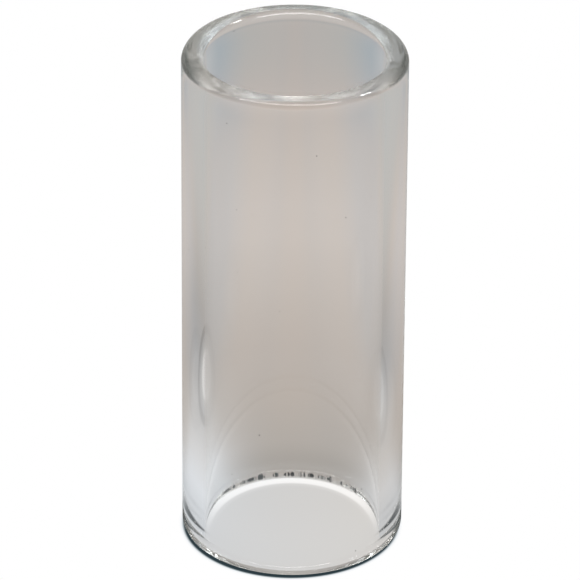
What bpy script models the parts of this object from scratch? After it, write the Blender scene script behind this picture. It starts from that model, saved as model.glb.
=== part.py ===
"""Glass guitar slide: one clear borosilicate tube, open at both ends, with fire-polished rims.

The tube stands on one end. Its axis is +Z and the middle of its lower end is the origin.
Lengths are in metres.
"""

import math

import bpy

# Driving dimensions
OUTER_DIAMETER = 0.025
BORE_DIAMETER = 0.020
LENGTH = 0.060

# Fire polishing rounds both corners of each cut end and leaves a narrow flat land between them.
OUTER_ROUND = 0.0010
INNER_ROUND = 0.0011

# Facets: around the tube, and along each quarter-round corner of the rim
TURN_STEPS = 96
ROUND_STEPS = 6

# Clear borosilicate glass
GLASS_COLOUR = (0.86, 0.90, 0.90, 1.0)
GLASS_ROUGHNESS = 0.02
GLASS_IOR = 1.47

SMOOTH_ANGLE = math.radians(30)
SCREW_MERGE = 0.00001


def clear_scene():
    for obj in list(bpy.data.objects):
        bpy.data.objects.remove(obj, do_unlink=True)


def new_collection(name):
    collection = bpy.data.collections.new(name)
    bpy.context.scene.collection.children.link(collection)
    return collection


def glass_material():
    material = bpy.data.materials.new("clear_glass")
    material.use_nodes = True
    shader = material.node_tree.nodes["Principled BSDF"]
    shader.inputs["Base Color"].default_value = GLASS_COLOUR
    shader.inputs["Roughness"].default_value = GLASS_ROUGHNESS
    shader.inputs["Metallic"].default_value = 0.0
    shader.inputs["IOR"].default_value = GLASS_IOR
    shader.inputs["Transmission Weight"].default_value = 1.0
    return material


def corner_arc(centre_r, centre_z, radius, start, end):
    """Points (r, z) of a quarter-round corner, from angle start to angle end."""
    points = []
    for step in range(ROUND_STEPS + 1):
        angle = start + (end - start) * step / ROUND_STEPS
        points.append(
            (centre_r + radius * math.cos(angle), centre_z + radius * math.sin(angle))
        )
    return points


def wall_section():
    """The wall's closed outline in (r, z), down the outer side and up the bore."""
    outer = OUTER_DIAMETER / 2
    bore = BORE_DIAMETER / 2
    east, north, west, south = 0.0, math.pi / 2, math.pi, 3 * math.pi / 2
    outer_r, inner_r = outer - OUTER_ROUND, bore + INNER_ROUND
    return (
        corner_arc(outer_r, LENGTH - OUTER_ROUND, OUTER_ROUND, north, east)
        + corner_arc(outer_r, OUTER_ROUND, OUTER_ROUND, 2 * math.pi, south)
        + corner_arc(inner_r, INNER_ROUND, INNER_ROUND, south, west)
        + corner_arc(inner_r, LENGTH - INNER_ROUND, INNER_ROUND, west, north)
    )


def turned_solid(name, section, material, collection):
    """Turns a closed section once around Z with a Screw modifier."""
    points = [(r, 0.0, z) for r, z in section]
    edges = [(i, (i + 1) % len(points)) for i in range(len(points))]
    mesh = bpy.data.meshes.new(name)
    mesh.from_pydata(points, edges, [])
    obj = bpy.data.objects.new(name, mesh)
    collection.objects.link(obj)
    screw = obj.modifiers.new("turn", "SCREW")
    screw.axis = "Z"
    screw.angle = 2 * math.pi
    screw.steps = TURN_STEPS
    screw.render_steps = TURN_STEPS
    screw.use_merge_vertices = True
    screw.merge_threshold = SCREW_MERGE
    screw.use_smooth_shade = True
    return replace_with_evaluated(obj, material)


def replace_with_evaluated(obj, material):
    """Applies the modifiers, then shades the round surfaces smooth."""
    graph = bpy.context.evaluated_depsgraph_get()
    solid = bpy.data.meshes.new_from_object(obj.evaluated_get(graph))
    solid.name = obj.name
    obj.modifiers.clear()
    obj.data = solid
    solid.shade_smooth()
    solid.set_sharp_from_angle(angle=SMOOTH_ANGLE)
    solid.materials.append(material)
    return obj


def main():
    clear_scene()
    collection = new_collection("guitar_slide")
    turned_solid("glass_tube", wall_section(), glass_material(), collection)


main()
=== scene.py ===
"""Looks of the clear glass guitar slide: the finished tube, and a plain studio around it.

The tube is turned again here with a fine mesh, from the CAD node's own box, and it replaces that node.
Everything is in metres, in the CAD frame: +Z is up along the tube, and the camera is on the -Y side.

Clear glass shows what stands round it, so there are two studios. The camera sees a white floor and a white
background. The glass sees a shadeless table with painted light and shade, a dim room and two glowing cards,
which the camera doesn't.
"""

import math
import random

import bmesh
import bpy
from mathutils import Matrix, Vector

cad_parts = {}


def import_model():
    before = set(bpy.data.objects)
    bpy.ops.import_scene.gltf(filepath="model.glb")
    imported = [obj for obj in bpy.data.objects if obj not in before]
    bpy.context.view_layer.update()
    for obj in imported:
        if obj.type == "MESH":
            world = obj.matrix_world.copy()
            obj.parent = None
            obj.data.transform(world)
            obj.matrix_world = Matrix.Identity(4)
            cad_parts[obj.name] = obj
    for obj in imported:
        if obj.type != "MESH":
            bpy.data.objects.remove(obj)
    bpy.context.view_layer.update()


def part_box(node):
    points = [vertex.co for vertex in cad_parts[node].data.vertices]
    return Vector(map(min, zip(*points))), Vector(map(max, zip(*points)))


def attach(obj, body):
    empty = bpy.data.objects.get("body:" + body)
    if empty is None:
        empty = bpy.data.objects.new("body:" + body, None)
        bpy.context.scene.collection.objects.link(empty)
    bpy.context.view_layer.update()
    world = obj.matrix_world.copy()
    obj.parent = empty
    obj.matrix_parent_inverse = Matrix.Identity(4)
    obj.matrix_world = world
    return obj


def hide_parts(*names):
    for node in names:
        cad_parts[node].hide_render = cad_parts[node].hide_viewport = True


MM = 0.001
SEED = 7
WHITE = 1.0

# ---------------------------------------------------------------- shader nodes


def fill(tree, socket, value):
    """Links a node's output to a socket, or sets the socket's own number or colour."""
    if isinstance(value, bpy.types.NodeSocket):
        tree.links.new(value, socket)
    elif isinstance(value, tuple):
        socket.default_value = (*value, 1.0)
    else:
        socket.default_value = value


def math_node(tree, operation, *values):
    node = tree.nodes.new("ShaderNodeMath")
    node.operation = operation
    for socket, value in zip(node.inputs, values):
        fill(tree, socket, value)
    return node.outputs[0]


def product(tree, first, *others):
    result = first
    for other in others:
        result = math_node(tree, "MULTIPLY", result, other)
    return result


def blend(tree, factor, first, second, mode="MIX"):
    """The first colour at a factor of 0, and what the mode makes of it and the second colour at 1."""
    node = tree.nodes.new("ShaderNodeMix")
    node.data_type = "RGBA"
    node.blend_type = mode
    fill(tree, node.inputs["Factor"], factor)
    fill(tree, node.inputs["A"], first)
    fill(tree, node.inputs["B"], second)
    return node.outputs["Result"]


def smooth_step(tree, value, fade):
    """0 on the side of the fade's first number and 1 on the side of its second, and smooth between them."""
    start, end = fade
    node = tree.nodes.new("ShaderNodeMapRange")
    node.interpolation_type = "SMOOTHSTEP"
    node.inputs["From Min"].default_value = start
    node.inputs["From Max"].default_value = end
    tree.links.new(value, node.inputs["Value"])
    return node.outputs["Result"]


def noise(tree, where, scale, detail):
    node = tree.nodes.new("ShaderNodeTexNoise")
    node.inputs["Scale"].default_value = scale
    node.inputs["Detail"].default_value = detail
    tree.links.new(where, node.inputs["Vector"])
    return node.outputs["Fac"]


def world_point(tree):
    """The shaded point, as one vector in metres."""
    return tree.nodes.new("ShaderNodeNewGeometry").outputs["Position"]


def split(tree, vector):
    """A vector's x, y and z."""
    node = tree.nodes.new("ShaderNodeSeparateXYZ")
    tree.links.new(vector, node.inputs[0])
    return node.outputs["X"], node.outputs["Y"], node.outputs["Z"]


def distance_from(tree, x, y, centre=(0.0, 0.0)):
    """Level distance in metres from an upright line: the tube's axis, or one through a centre in mm."""
    dx = math_node(tree, "SUBTRACT", x, centre[0] * MM)
    dy = math_node(tree, "SUBTRACT", y, centre[1] * MM)
    squares = math_node(tree, "ADD", product(tree, dx, dx), product(tree, dy, dy))
    return math_node(tree, "SQRT", squares)


def colour_ramp(tree, value, stops):
    """A colour that follows a value from 0 to 1, from (place, (red, green, blue)) stops in linear light."""
    node = tree.nodes.new("ShaderNodeValToRGB")
    elements = node.color_ramp.elements
    elements.remove(elements[1])
    elements[0].position = stops[0][0]
    elements[0].color = (*stops[0][1], 1.0)
    for place, colour in stops[1:]:
        elements.new(place).color = (*colour, 1.0)
    tree.links.new(value, node.inputs["Fac"])
    return node.outputs["Color"]


def by_distance(tree, distance, stops, reach):
    """A colour that follows a distance, from stops in mm. No stop is past the reach, which is in mm too."""
    scaled = math_node(tree, "DIVIDE", distance, reach * MM)
    return colour_ramp(tree, scaled, [(mm / reach, colour) for mm, colour in stops])


def glowing(name):
    """A shadeless material, as (material, its node tree, its emission node)."""
    material = bpy.data.materials.new(name)
    material.use_nodes = True
    tree = material.node_tree
    tree.nodes.clear()
    glow = tree.nodes.new("ShaderNodeEmission")
    output = tree.nodes.new("ShaderNodeOutputMaterial")
    tree.links.new(glow.outputs["Emission"], output.inputs["Surface"])
    return material, tree, glow


# ---------------------------------------------------------------- the tube's shape

# The bore isn't in the node's box, so it repeats the CAD's own figure.
BORE_RADIUS = 10.0 * MM

# Mesh density of the finished tube
TURN_STEPS = 480
LIP_STEPS = 20
SIDE_STEPS = 36

# Fire polishing rounds each lip: its depth on each side, and how square its crown is.
LIP_DEPTH_OUT = 1.02 * MM
LIP_DEPTH_IN = 1.1 * MM
CROWN = 0.8
# How tightly each lip turns into the wall: the foot is rounder than the top.
TOP_TURN = 1.35
FOOT_TURN = 1.0
# Hand-drawn glass is never quite even: how far the wall and the top lip waver.
WALL_WAVER = 0.004 * MM
LIP_WAVER = 0.04 * MM
# Each waver adds up ripples that go round this many times, with strengths between these two.
RIPPLES = (2, 3, 5, 8, 13)
RIPPLE_STRENGTH = (0.5, 1.0)


def lip_points(outer, bore, turn):
    """One fire-polished lip as (radius, drop below the end), from the outer side to the bore.

    Each half is a quarter of a superellipse, with a nearly flat crown.
    """
    middle = (outer + bore) / 2
    half = (outer - bore) / 2
    points = []
    for step in range(2 * LIP_STEPS + 1):
        angle = math.pi * step / (2 * LIP_STEPS)
        across = math.copysign(abs(math.cos(angle)) ** CROWN, math.cos(angle))
        depth = LIP_DEPTH_OUT if across > 0 else LIP_DEPTH_IN
        points.append((middle + half * across, depth * (1 - abs(math.sin(angle)) ** turn)))
    return points


def straight(radius, start, end):
    """A straight side of the wall between two heights, without its end points."""
    return [
        (radius, start + (end - start) * step / SIDE_STEPS) for step in range(1, SIDE_STEPS)
    ]


def wall_outline(outer, bore, length):
    """The wall's closed outline as (radius, height): up outside, over the top lip and down the bore."""
    top = [(r, length - drop) for r, drop in lip_points(outer, bore, TOP_TURN)]
    foot = [(r, drop) for r, drop in reversed(lip_points(outer, bore, FOOT_TURN))]
    up = straight(outer, LIP_DEPTH_OUT, length - LIP_DEPTH_OUT)
    down = straight(bore, length - LIP_DEPTH_IN, LIP_DEPTH_IN)
    return up + top + down + foot


def wavers():
    """A few slow ripples round the tube, as a function of the angle, from -1 to 1."""
    ripples = [
        (cycles, random.uniform(*RIPPLE_STRENGTH), random.uniform(0, 2 * math.pi))
        for cycles in RIPPLES
    ]
    total = sum(strength for _, strength, _ in ripples)

    def waver(angle):
        waves = (strength * math.sin(cycles * angle + start) for cycles, strength, start in ripples)
        return sum(waves) / total

    return waver


def turned_rows(shape, outline, base, length):
    """A row of vertices along the outline at each step of the turn. The wavers only ever go inwards."""
    wall_waver, lip_waver = wavers(), wavers()
    rows = []
    for step in range(TURN_STEPS):
        angle = 2 * math.pi * step / TURN_STEPS
        inward = WALL_WAVER * (1 - wall_waver(angle))
        shorter = LIP_WAVER * (1 - lip_waver(angle)) / 2
        row = []
        for r, z in outline:
            radius = r - inward
            upper_half = max(0.0, z / length - 0.5) * 2
            height = base + z - shorter * upper_half
            row.append(shape.verts.new((radius * math.cos(angle), radius * math.sin(angle), height)))
        rows.append(row)
    return rows


def join_rows(shape, rows):
    """Closes the skin between each row and the next, all the way round."""
    for near, far in zip(rows, rows[1:] + rows[:1]):
        for here in range(len(near)):
            there = (here + 1) % len(near)
            shape.faces.new((near[here], far[here], far[there], near[there]))


def glass_tube(material):
    low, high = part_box("glass_tube")
    outer = (high.x - low.x) / 2
    length = high.z - low.z
    shape = bmesh.new()
    join_rows(shape, turned_rows(shape, wall_outline(outer, BORE_RADIUS, length), low.z, length))
    bmesh.ops.recalc_face_normals(shape, faces=shape.faces)
    mesh = bpy.data.meshes.new("slide_glass")
    shape.to_mesh(mesh)
    shape.free()
    mesh.shade_smooth()
    mesh.materials.append(material)
    tube = bpy.data.objects.new("slide_glass", mesh)
    bpy.context.scene.collection.objects.link(tube)
    tube.visible_shadow = False
    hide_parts("glass_tube")
    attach(tube, "root")


# ---------------------------------------------------------------- the glass

# From here on a fade is a pair: where the mask that it makes is 0, and where it is 1.
# Noise is a pair too: its scale for each metre, and its detail.
GLASS_IOR = 1.47
CLEAR_COLOUR = (0.995, 0.996, 0.995)
ABSORPTION_COLOUR = (0.92, 0.945, 0.925)
ABSORPTION_DENSITY = 4.0

# Painted shade: the outer corner of the foot is dark and rough at the back, where it stands on the table.
# Noise raises and breaks its edge.
FOOT_SHADE_COLOUR = (0.02, 0.028, 0.03)
FOOT_SHADE_ROUGHNESS = 0.5
FOOT_SHADE_HEIGHT = 0.27 * MM
FOOT_SHADE_EDGE = 0.05 * MM
FOOT_SHADE_RADIUS = (11.35 * MM, 11.45 * MM)
FOOT_SHADE_BACK = (5.0 * MM, 8.0 * MM)
COARSE_SHADE_BREAKUP = (1100.0, 1.0)
COARSE_RISE = 0.6 * MM
FINE_SHADE_BREAKUP = (5200.0, 2.0)
FINE_RISE = 1.0 * MM

# Seeds are small bubbles in the glass. Each is whole out to its core, which is a share of its radius.
SEED_COLOUR = (0.30, 0.29, 0.28)
SEED_SPACING = 4.4 * MM
SEED_RADIUS = 0.13 * MM
SEED_CORE = 0.4

# Roughness: smudges where the polished wall is handled, and a grainy haze on the fire-polished top lip
SMUDGE = 0.03
SMUDGE_NOISE = (90.0, 3.0)
SMUDGE_FADE = (0.52, 0.72)
LIP_HAZE = 0.14
LIP_HAZE_NOISE = (500.0, 3.0)
LIP_HAZE_DEPTH = (1.3 * MM, 0.65 * MM)

# At the back, the top lip's inner edge gets a painted blue tint for the cooler view that it shows. Depths
# are measured down from the tube's top.
COOL_VIEW_COLOUR = (0.80, 0.865, 0.915)
INNER_LIP_DEPTH = (1.5 * MM, 1.0 * MM)
INNER_LIP_RADIUS = (11.3 * MM, 10.9 * MM)
INNER_LIP_BACK = (-3.0 * MM, 4.0 * MM)

# The rest of the top lip has painted shade: lightest in front, and darkest at its two sides.
LIP_FRONT_TINT = (0.93, 0.875, 0.84)
LIP_SHADE = (0.60, 0.62, 0.60)
LIP_SIDE_SHADE = (0.33, 0.34, 0.325)
LIP_SHADE_DEPTH = (1.1 * MM, 0.7 * MM)
LIP_SHADE_RADIUS = (10.5 * MM, 10.9 * MM)
LIP_SHADE_SIDE = (3.5 * MM, 8.0 * MM)
LIP_SHADE_BACK = (-8.0 * MM, -4.0 * MM)


def below_top(tree, z):
    return math_node(tree, "SUBTRACT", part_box("glass_tube")[1].z, z)


def painted_foot_shade(tree, where):
    """1 on the painted shade at the back of the foot's outer corner, and 0 elsewhere."""
    x, y, z = split(tree, where)
    raised = math_node(tree, "MULTIPLY_ADD", noise(tree, where, *COARSE_SHADE_BREAKUP), COARSE_RISE, z)
    ragged = math_node(tree, "MULTIPLY_ADD", noise(tree, where, *FINE_SHADE_BREAKUP), FINE_RISE, raised)
    limit = FOOT_SHADE_HEIGHT + (COARSE_RISE + FINE_RISE) / 2
    low = smooth_step(tree, ragged, (limit, limit - FOOT_SHADE_EDGE))
    outside = smooth_step(tree, distance_from(tree, x, y), FOOT_SHADE_RADIUS)
    return product(tree, low, outside, smooth_step(tree, y, FOOT_SHADE_BACK))


def seeds(tree, where):
    """1 on small seeds scattered in the glass, and 0 elsewhere."""
    cells = tree.nodes.new("ShaderNodeTexVoronoi")
    cells.inputs["Scale"].default_value = 1 / SEED_SPACING
    tree.links.new(where, cells.inputs["Vector"])
    size = SEED_RADIUS / SEED_SPACING
    return smooth_step(tree, cells.outputs["Distance"], (size, size * SEED_CORE))


def surface_haze(tree, where):
    """Roughness of the glass: faint smudges on the wall, and a hazier lip at the top."""
    _, _, z = split(tree, where)
    patches = smooth_step(tree, noise(tree, where, *SMUDGE_NOISE), SMUDGE_FADE)
    lip = smooth_step(tree, below_top(tree, z), LIP_HAZE_DEPTH)
    # The grain runs from 3/4 to 5/4 of the haze.
    lip_noise = noise(tree, where, *LIP_HAZE_NOISE)
    grain = math_node(tree, "MULTIPLY_ADD", lip_noise, LIP_HAZE / 2, LIP_HAZE * 3 / 4)
    return math_node(tree, "MAXIMUM", product(tree, patches, SMUDGE), product(tree, lip, grain))


# Painted tint: the top lip's inner edge at the back is made bluer for the cooler view that it shows.
def with_painted_cool_view(tree, where, colour):
    x, y, z = split(tree, where)
    high = smooth_step(tree, below_top(tree, z), INNER_LIP_DEPTH)
    inside = smooth_step(tree, distance_from(tree, x, y), INNER_LIP_RADIUS)
    edge = product(tree, high, inside, smooth_step(tree, y, INNER_LIP_BACK))
    return blend(tree, edge, colour, COOL_VIEW_COLOUR)


# Painted shade on the top lip: lightest and warm in front, darkest at its two sides.
def with_painted_lip_shade(tree, where, colour):
    x, y, z = split(tree, where)
    high = smooth_step(tree, below_top(tree, z), LIP_SHADE_DEPTH)
    outside = smooth_step(tree, distance_from(tree, x, y), LIP_SHADE_RADIUS)
    side = smooth_step(tree, math_node(tree, "ABSOLUTE", x), LIP_SHADE_SIDE)
    back = smooth_step(tree, y, LIP_SHADE_BACK)
    lip_shade = blend(tree, back, LIP_FRONT_TINT, blend(tree, side, LIP_SHADE, LIP_SIDE_SHADE))
    return blend(tree, product(tree, high, outside), colour, lip_shade)


def glass_material():
    material = bpy.data.materials.new("clear_glass")
    material.use_nodes = True
    tree = material.node_tree
    shader = tree.nodes["Principled BSDF"]
    where = world_point(tree)
    # The colour carries painted shade at the foot and on the top lip, and a painted cool tint at the lip's
    # inner edge.
    foot_shade = painted_foot_shade(tree, where)
    colour = with_painted_cool_view(tree, where, CLEAR_COLOUR)
    colour = with_painted_lip_shade(tree, where, colour)
    colour = blend(tree, seeds(tree, where), colour, SEED_COLOUR)
    colour = blend(tree, foot_shade, colour, FOOT_SHADE_COLOUR)
    foot_shade_roughness = product(tree, foot_shade, FOOT_SHADE_ROUGHNESS)
    roughness = math_node(tree, "MAXIMUM", surface_haze(tree, where), foot_shade_roughness)
    fill(tree, shader.inputs["Base Color"], colour)
    fill(tree, shader.inputs["Metallic"], foot_shade)
    fill(tree, shader.inputs["Roughness"], roughness)
    fill(tree, shader.inputs["IOR"], GLASS_IOR)
    fill(tree, shader.inputs["Transmission Weight"], 1.0)
    absorb = tree.nodes.new("ShaderNodeVolumeAbsorption")
    fill(tree, absorb.inputs["Color"], ABSORPTION_COLOUR)
    fill(tree, absorb.inputs["Density"], ABSORPTION_DENSITY)
    tree.links.new(absorb.outputs["Volume"], tree.nodes["Material Output"].inputs["Volume"])
    return material


# ---------------------------------------------------------------- the table that the glass sees

TABLE_HALF_WIDTH = 20.0
TABLE_HEIGHT = -0.1 * MM

# In each list of stops the first number is a distance in mm, and the colour is in linear light.

# Painted light and shade round the foot: a lit disc inside, then a grey ring of shade, a dark contact
# shadow under the lip, and light again
DISC_COLOUR = (0.66, 0.65, 0.64)
FOOT_REACH = 14.0
FOOT_EDGE = (13.0 * MM, 14.5 * MM)
FOOT = (
    (0.0, DISC_COLOUR),
    (10.7, DISC_COLOUR),
    (11.1, (0.27, 0.27, 0.26)),
    (11.7, (0.27, 0.27, 0.26)),
    (11.9, (0.02, 0.04, 0.045)),
    (12.5, (0.02, 0.04, 0.045)),
    (13.0, (0.25, 0.26, 0.26)),
    (14.0, (0.45, 0.46, 0.47)),
)
# In front the rings give way to the disc's colour.
FOOT_FRONT = (3.0 * MM, -1.0 * MM)
# The bright ring that the wall focuses inside the foot, strongest at the back
CAUSTIC_BACK = (-4.0 * MM, 8.0 * MM)
CAUSTIC = (
    (0.0, (0.0, 0.0, 0.0)),
    (8.8, (0.0, 0.0, 0.0)),
    (9.4, (0.06, 0.06, 0.06)),
    (9.8, (0.32, 0.32, 0.32)),
    (10.6, (0.34, 0.34, 0.34)),
    (10.9, (0.0, 0.0, 0.0)),
)
# Across the foot the light is cool on the left and warm on the right: distance from the reach's left edge
FOOT_TINT = (
    (2.0, (0.955, 0.99, 1.03)),
    (9.0, (0.985, 1.0, 1.015)),
    (20.0, (1.01, 1.0, 0.985)),
    (28.0, (1.03, 1.0, 0.96)),
)
# A painted contact shadow, a dark line, follows the foot's edge at its two sides, and fades out towards the
# front and the back.
CONTACT_SHADOW_COLOUR = (0.015, 0.025, 0.03)
CONTACT_INSIDE = (11.9 * MM, 12.4 * MM)
CONTACT_OUTSIDE = (14.1 * MM, 13.7 * MM)
CONTACT_FRONT = (-7.0 * MM, -4.0 * MM)
CONTACT_BACK = (8.0 * MM, 4.0 * MM)

# Behind the tube, in its own warm shadow, and beside it
TABLE_REACH = 200.0
BEHIND = (
    (14.0, (0.40, 0.375, 0.35)),
    (16.0, (0.37, 0.34, 0.31)),
    (20.0, (0.43, 0.39, 0.355)),
    (30.0, (0.475, 0.42, 0.375)),
    (43.0, (0.505, 0.445, 0.40)),
    (57.0, (0.570, 0.508, 0.462)),
    (71.0, (0.618, 0.555, 0.510)),
    (79.0, (0.615, 0.553, 0.510)),
    (92.0, (0.580, 0.520, 0.477)),
    (112.0, (0.520, 0.465, 0.43)),
    (150.0, (0.45, 0.43, 0.41)),
    (200.0, (0.43, 0.42, 0.405)),
)
BESIDE = (
    (14.0, (0.60, 0.625, 0.65)),
    (20.0, (0.73, 0.755, 0.785)),
    (27.0, (0.67, 0.67, 0.67)),
    (36.0, (0.54, 0.53, 0.52)),
    (44.0, (0.44, 0.42, 0.40)),
    (52.0, (0.395, 0.38, 0.365)),
    (62.0, (0.395, 0.38, 0.365)),
    (78.0, (0.46, 0.44, 0.42)),
    (95.0, (0.50, 0.49, 0.475)),
    (200.0, (0.45, 0.45, 0.44)),
)
# The shadow points a little to the right, and its spread goes by the cosine of the angle from there.
SHADOW_TURN = math.radians(7)
SHADOW_SPREAD = (0.50, 1.0)
# On the right, the light close to the foot is weaker and warmer.
RIGHT_SIDE = (0.84, 0.80, 0.76)
RIGHT_SIDE_X = (5.0 * MM, 22.0 * MM)
RIGHT_SIDE_CLOSE = (45.0 * MM, 25.0 * MM)
# Between the foot and the far table the light is cooler a little to the side, and warmer further out.
ASIDE_REACH = 200.0
ASIDE_TINT_START = (32.0 * MM, 48.0 * MM)
ASIDE_TINT_END = (160.0 * MM, 105.0 * MM)
ASIDE_TINT = (
    (0.0, (1.0, 1.0, 1.0)),
    (12.0, (1.0, 1.0, 1.0)),
    (22.0, (0.94, 0.99, 1.045)),
    (40.0, (0.95, 0.99, 1.04)),
    (56.0, (1.025, 1.0, 0.98)),
    (80.0, (1.035, 1.0, 0.975)),
    (110.0, (1.0, 1.0, 1.0)),
)
# Past the pool of light the table is dimmer: distance to the side. Far away it is one colour.
POOL_CENTRE = (0.0, 45.0)
POOL_FADE = (54.0 * MM, 82.0 * MM)
FAR_TABLE = (
    (0.0, (0.47, 0.435, 0.41)),
    (12.0, (0.44, 0.43, 0.415)),
    (26.0, (0.38, 0.41, 0.425)),
    (42.0, (0.49, 0.495, 0.49)),
    (90.0, (0.50, 0.505, 0.495)),
    (200.0, (0.45, 0.45, 0.44)),
)
HORIZON = (0.43, 0.42, 0.405)
HORIZON_FADE = (120.0 * MM, 190.0 * MM)

# The painted light and shade of two more tubes' feet, each a bright disc inside a dark ring: centre in mm,
# and strength
NEIGHBOURS = (((-44.9, 13.5), 1.0), ((41.2, 11.0), 0.4))
NEIGHBOUR_REACH = 16.0
NEIGHBOUR_GLOW = (
    (0.0, (0.30, 0.29, 0.28)),
    (5.6, (0.30, 0.29, 0.28)),
    (7.0, (0.10, 0.10, 0.09)),
    (9.0, (0.0, 0.0, 0.0)),
)
NEIGHBOUR_SHADE = (
    (9.5, (0.0, 0.0, 0.0)),
    (10.6, (0.09, 0.09, 0.09)),
    (12.2, (0.09, 0.09, 0.09)),
    (12.8, (0.0, 0.0, 0.0)),
)


def pool_of_light(tree, x, y, distance):
    """The table near the tube: a warm shadow behind it, and cool light beside it."""
    behind = by_distance(tree, distance, BEHIND, TABLE_REACH)
    beside = by_distance(tree, distance, BESIDE, TABLE_REACH)
    to_right = smooth_step(tree, x, RIGHT_SIDE_X)
    close = smooth_step(tree, distance, RIGHT_SIDE_CLOSE)
    dimmed = blend(tree, 1.0, beside, RIGHT_SIDE, "MULTIPLY")
    beside = blend(tree, product(tree, to_right, close), beside, dimmed)
    backward = math_node(tree, "MULTIPLY_ADD", x, math.tan(SHADOW_TURN), y)
    in_shadow = smooth_step(tree, math_node(tree, "DIVIDE", backward, distance), SHADOW_SPREAD)
    return blend(tree, in_shadow, beside, behind)


def lit_table(tree, x, y, distance):
    """The table outside the foot: a pool of light, dimmer past it, and one colour far away."""
    aside = math_node(tree, "ABSOLUTE", x)
    near = pool_of_light(tree, x, y, distance)
    far = by_distance(tree, aside, FAR_TABLE, ASIDE_REACH)
    far = blend(tree, smooth_step(tree, distance, HORIZON_FADE), far, HORIZON)
    past_pool = smooth_step(tree, distance_from(tree, x, y, POOL_CENTRE), POOL_FADE)
    colour = blend(tree, past_pool, near, far)
    tint = by_distance(tree, aside, ASIDE_TINT, ASIDE_REACH)
    tinted = blend(tree, 1.0, colour, tint, "MULTIPLY")
    start = smooth_step(tree, distance, ASIDE_TINT_START)
    end = smooth_step(tree, distance, ASIDE_TINT_END)
    return blend(tree, product(tree, start, end), colour, tinted)


def with_neighbour(tree, x, y, colour, centre, strength):
    """Adds the painted light and shade of a neighbouring tube's foot."""
    away = distance_from(tree, x, y, centre)
    glow = by_distance(tree, away, NEIGHBOUR_GLOW, NEIGHBOUR_REACH)
    shade = by_distance(tree, away, NEIGHBOUR_SHADE, NEIGHBOUR_REACH)
    lit = blend(tree, strength, colour, glow, "ADD")
    return blend(tree, strength, lit, shade, "SUBTRACT")


def foot_colour(tree, x, y, distance):
    """The table inside and just under the foot."""
    foot = by_distance(tree, distance, FOOT, FOOT_REACH)
    foot = blend(tree, smooth_step(tree, y, FOOT_FRONT), foot, DISC_COLOUR)
    from_left = math_node(tree, "ADD", x, FOOT_REACH * MM)
    tint = by_distance(tree, from_left, FOOT_TINT, 2 * FOOT_REACH)
    foot = blend(tree, 1.0, foot, tint, "MULTIPLY")
    lit = blend(tree, 1.0, foot, by_distance(tree, distance, CAUSTIC, FOOT_REACH), "ADD")
    return blend(tree, smooth_step(tree, y, CAUSTIC_BACK), foot, lit)


def contact_shadow(tree, y, distance):
    """1 on the painted contact shadow at the foot's two sides, and 0 elsewhere."""
    return product(
        tree,
        smooth_step(tree, distance, CONTACT_OUTSIDE),
        smooth_step(tree, distance, CONTACT_INSIDE),
        smooth_step(tree, y, CONTACT_BACK),
        smooth_step(tree, y, CONTACT_FRONT),
    )


def table_material():
    """A studio table with painted light and shade: a pool of light round the foot and behind it."""
    material, tree, glow = glowing("studio_table")
    x, y, _ = split(tree, world_point(tree))
    distance = distance_from(tree, x, y)
    colour = lit_table(tree, x, y, distance)
    for centre, strength in NEIGHBOURS:
        colour = with_neighbour(tree, x, y, colour, centre, strength)
    outside = smooth_step(tree, distance, FOOT_EDGE)
    colour = blend(tree, outside, foot_colour(tree, x, y, distance), colour)
    colour = blend(tree, contact_shadow(tree, y, distance), colour, CONTACT_SHADOW_COLOUR)
    tree.links.new(colour, glow.inputs["Color"])
    return material


def plane(name, half_width, height, material):
    mesh = bpy.data.meshes.new(name)
    shape = bmesh.new()
    bmesh.ops.create_grid(shape, x_segments=1, y_segments=1, size=half_width)
    shape.to_mesh(mesh)
    shape.free()
    mesh.materials.append(material)
    obj = bpy.data.objects.new(name, mesh)
    obj.location.z = height
    bpy.context.scene.collection.objects.link(obj)
    return obj


def for_glass_only(obj):
    """Hides a piece of the studio from everything but the glass."""
    obj.visible_camera = False
    obj.visible_diffuse = False
    obj.visible_shadow = False


def table():
    for_glass_only(plane("studio_table", TABLE_HALF_WIDTH, TABLE_HEIGHT, table_material()))


# ---------------------------------------------------------------- the floor that the camera sees

FLOOR_HALF_WIDTH = 6.0
FLOOR_HEIGHT = -0.05 * MM
# The floor is one white, but for a painted contact shadow, a thin dark line where the foot's edge meets it:
# distance in mm from the line's centre, which is a little off the tube's axis.
FLOOR_CENTRE = (-0.12, -0.05)
FLOOR_REACH = 20.0
FLOOR = (
    (0.0, (WHITE, WHITE, WHITE)),
    (11.0, (WHITE, WHITE, WHITE)),
    (11.3, (0.02, 0.03, 0.035)),
    (12.2, (0.03, 0.05, 0.06)),
    (12.3, (0.35, 0.40, 0.42)),
    (12.5, (0.90, 0.92, 0.94)),
    (12.8, (WHITE, WHITE, WHITE)),
)


def floor():
    """The white floor with its painted contact shadow. The glass doesn't see it."""
    material, tree, glow = glowing("white_floor")
    x, y, _ = split(tree, world_point(tree))
    distance = distance_from(tree, x, y, FLOOR_CENTRE)
    tree.links.new(by_distance(tree, distance, FLOOR, FLOOR_REACH), glow.inputs["Color"])
    obj = plane("floor", FLOOR_HALF_WIDTH, FLOOR_HEIGHT, material)
    obj.visible_transmission = False
    obj.visible_glossy = False
    obj.visible_diffuse = False


# ---------------------------------------------------------------- cards and lights

# A direction is an azimuth, from the camera's side round to the right, and an elevation, in degrees.
# Cards are what shines in the glass: name, direction, (width, height) in metres, and strength.
CARD_DISTANCE = 0.7
CARD_AIM = (0.0, 0.0, 30 * MM)
# A card starts as a plane 1 m across, and its scale is then its size.
UNIT_HALF_WIDTH = 0.5
CARDS = (
    ("softbox", (-8, 56), (1.2, 0.12), 11.0),
    ("lamp", (85, 42), (0.10, 0.10), 40.0),
)
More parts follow.
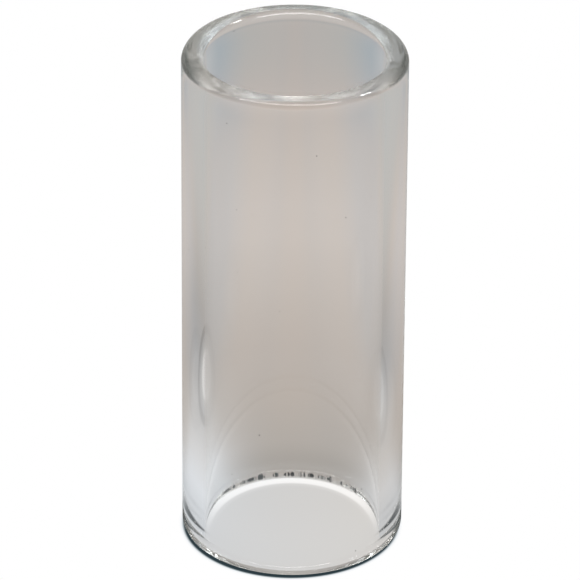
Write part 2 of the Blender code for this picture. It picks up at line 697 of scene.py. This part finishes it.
# Soft lights for diffuse surfaces only, which the glass doesn't show: name, direction, distance and width
# in metres, and watts
LIGHTS = (
    ("key", (0, 65), 0.7, 0.5, 9.0),
    ("fill_left", (-100, 45), 0.8, 0.6, 5.0),
    ("fill_right", (100, 45), 0.8, 0.6, 5.0),
)


def along(direction, distance):
    """The point at a distance from the origin in a direction."""
    azimuth, elevation = (math.radians(degrees) for degrees in direction)
    level = distance * math.cos(elevation)
    return Vector(
        (level * math.sin(azimuth), -level * math.cos(azimuth), distance * math.sin(elevation))
    )


def card(name, direction, size, strength):
    """A glowing card that only the glass sees, facing the tube."""
    material, _, glow = glowing(name)
    glow.inputs["Color"].default_value = (WHITE, WHITE, WHITE, 1.0)
    glow.inputs["Strength"].default_value = strength
    obj = plane(name, UNIT_HALF_WIDTH, 0, material)
    obj.scale = (*size, 1)
    obj.location = along(direction, CARD_DISTANCE)
    obj.rotation_mode = "QUATERNION"
    obj.rotation_quaternion = (Vector(CARD_AIM) - obj.location).to_track_quat("Z", "Y")
    for_glass_only(obj)


def area_light(name, direction, distance, size, power):
    data = bpy.data.lights.new(name, "AREA")
    data.shape = "DISK"
    data.size = size
    data.energy = power
    light = bpy.data.objects.new(name, data)
    light.location = along(direction, distance)
    light.rotation_mode = "QUATERNION"
    light.rotation_quaternion = (-light.location).to_track_quat("-Z", "Y")
    light.visible_glossy = False
    light.visible_transmission = False
    light.visible_camera = False
    bpy.context.scene.collection.objects.link(light)


# ---------------------------------------------------------------- the room

# The room's colours in linear light: on the camera's side, beyond the tube, and at the two sides
ROOM_FRONT = (0.50, 0.46, 0.43)
ROOM_MIDDLE = (0.40, 0.375, 0.35)
ROOM_BEHIND = (0.42, 0.40, 0.38)
ROOM_SIDES = (0.14, 0.14, 0.125)
ROOM_SKIRTING = (0.05, 0.065, 0.07)
# The dark parts stand clear of the horizon. Fades here go by the x, y or z of a direction of length 1.
RAISED_Z = (0.04, 0.12)
SIDES_X = (0.35, 0.9)
SKIRTING_X = (0.15, 0.40)
SKIRTING_Y = (0.0, 0.3)
SKIRTING_Z = (0.46, 0.34)


def room_colour(tree):
    """A room that is dim at the sides, and darker still low down at the back on both sides."""
    direction = tree.nodes.new("ShaderNodeTexCoord").outputs["Generated"]
    x, y, z = split(tree, direction)
    aside = math_node(tree, "ABSOLUTE", x)
    # y runs from -1 in front to 1 behind, and a ramp from 0 to 1.
    depth = math_node(tree, "MULTIPLY_ADD", y, 0.5, 0.5)
    walls = colour_ramp(tree, depth, ((0.0, ROOM_FRONT), (0.5, ROOM_MIDDLE), (1.0, ROOM_BEHIND)))
    raised = smooth_step(tree, z, RAISED_Z)
    sides = product(tree, smooth_step(tree, aside, SIDES_X), raised)
    skirting = product(
        tree,
        smooth_step(tree, z, SKIRTING_Z),
        smooth_step(tree, y, SKIRTING_Y),
        raised,
        smooth_step(tree, aside, SKIRTING_X),
    )
    walls = blend(tree, sides, walls, ROOM_SIDES)
    return blend(tree, skirting, walls, ROOM_SKIRTING)


def world():
    """White to the camera, and a room to the glass."""
    made = bpy.data.worlds.new("studio")
    bpy.context.scene.world = made
    made.use_nodes = True
    tree = made.node_tree
    tree.nodes.clear()
    room = tree.nodes.new("ShaderNodeBackground")
    tree.links.new(room_colour(tree), room.inputs["Color"])
    white = tree.nodes.new("ShaderNodeBackground")
    white.inputs["Color"].default_value = (WHITE, WHITE, WHITE, 1.0)
    path = tree.nodes.new("ShaderNodeLightPath")
    mix = tree.nodes.new("ShaderNodeMixShader")
    tree.links.new(path.outputs["Is Camera Ray"], mix.inputs[0])
    tree.links.new(room.outputs[0], mix.inputs[1])
    tree.links.new(white.outputs[0], mix.inputs[2])
    output = tree.nodes.new("ShaderNodeOutputWorld")
    tree.links.new(mix.outputs[0], output.inputs["Surface"])


# ---------------------------------------------------------------- the camera

# The frame's width is measured at the tube, across the view. The aim is a little off the tube's middle.
SENSOR_WIDTH = 36.0
CAMERA_DISTANCE = 650 * MM
CAMERA_ELEVATION = 28.8
CAMERA_ROLL = math.radians(0.39)
CAMERA_CLIP = (10 * MM, 20.0)
FRAME_WIDTH = 64.9 * MM
AIM_RIGHT = -0.386 * MM
AIM_UP = 0.13 * MM

# Light that the wall traps is reflected many times before it leaves.
LIGHT_BOUNCES = 200


def camera(centre):
    """Looks from the front and above, from so near that the foot is seen more steeply than the top."""
    data = bpy.data.cameras.new("camera")
    data.sensor_width = SENSOR_WIDTH
    data.lens = SENSOR_WIDTH * CAMERA_DISTANCE / FRAME_WIDTH
    data.clip_start, data.clip_end = CAMERA_CLIP
    cam = bpy.data.objects.new("camera", data)
    back = along((0, CAMERA_ELEVATION), 1)
    level = (-back).to_track_quat("-Z", "Y").to_matrix().to_4x4()
    turned = level @ Matrix.Rotation(CAMERA_ROLL, 4, "Z")
    right, up = turned.col[0].to_3d(), turned.col[1].to_3d()
    aim = centre + right * AIM_RIGHT + up * AIM_UP
    cam.matrix_world = Matrix.Translation(aim + back * CAMERA_DISTANCE) @ turned
    bpy.context.scene.collection.objects.link(cam)
    bpy.context.scene.camera = cam


def picture_settings():
    scene = bpy.context.scene
    scene.view_settings.view_transform = "Standard"
    scene.cycles.max_bounces = LIGHT_BOUNCES
    scene.cycles.transmission_bounces = LIGHT_BOUNCES
    scene.cycles.glossy_bounces = LIGHT_BOUNCES
    scene.cycles.use_denoising = True


def main():
    random.seed(SEED)
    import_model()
    low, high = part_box("glass_tube")
    glass_tube(glass_material())
    floor()
    table()
    for settings in CARDS:
        card(*settings)
    for settings in LIGHTS:
        area_light(*settings)
    world()
    camera((low + high) / 2)
    picture_settings()


main()
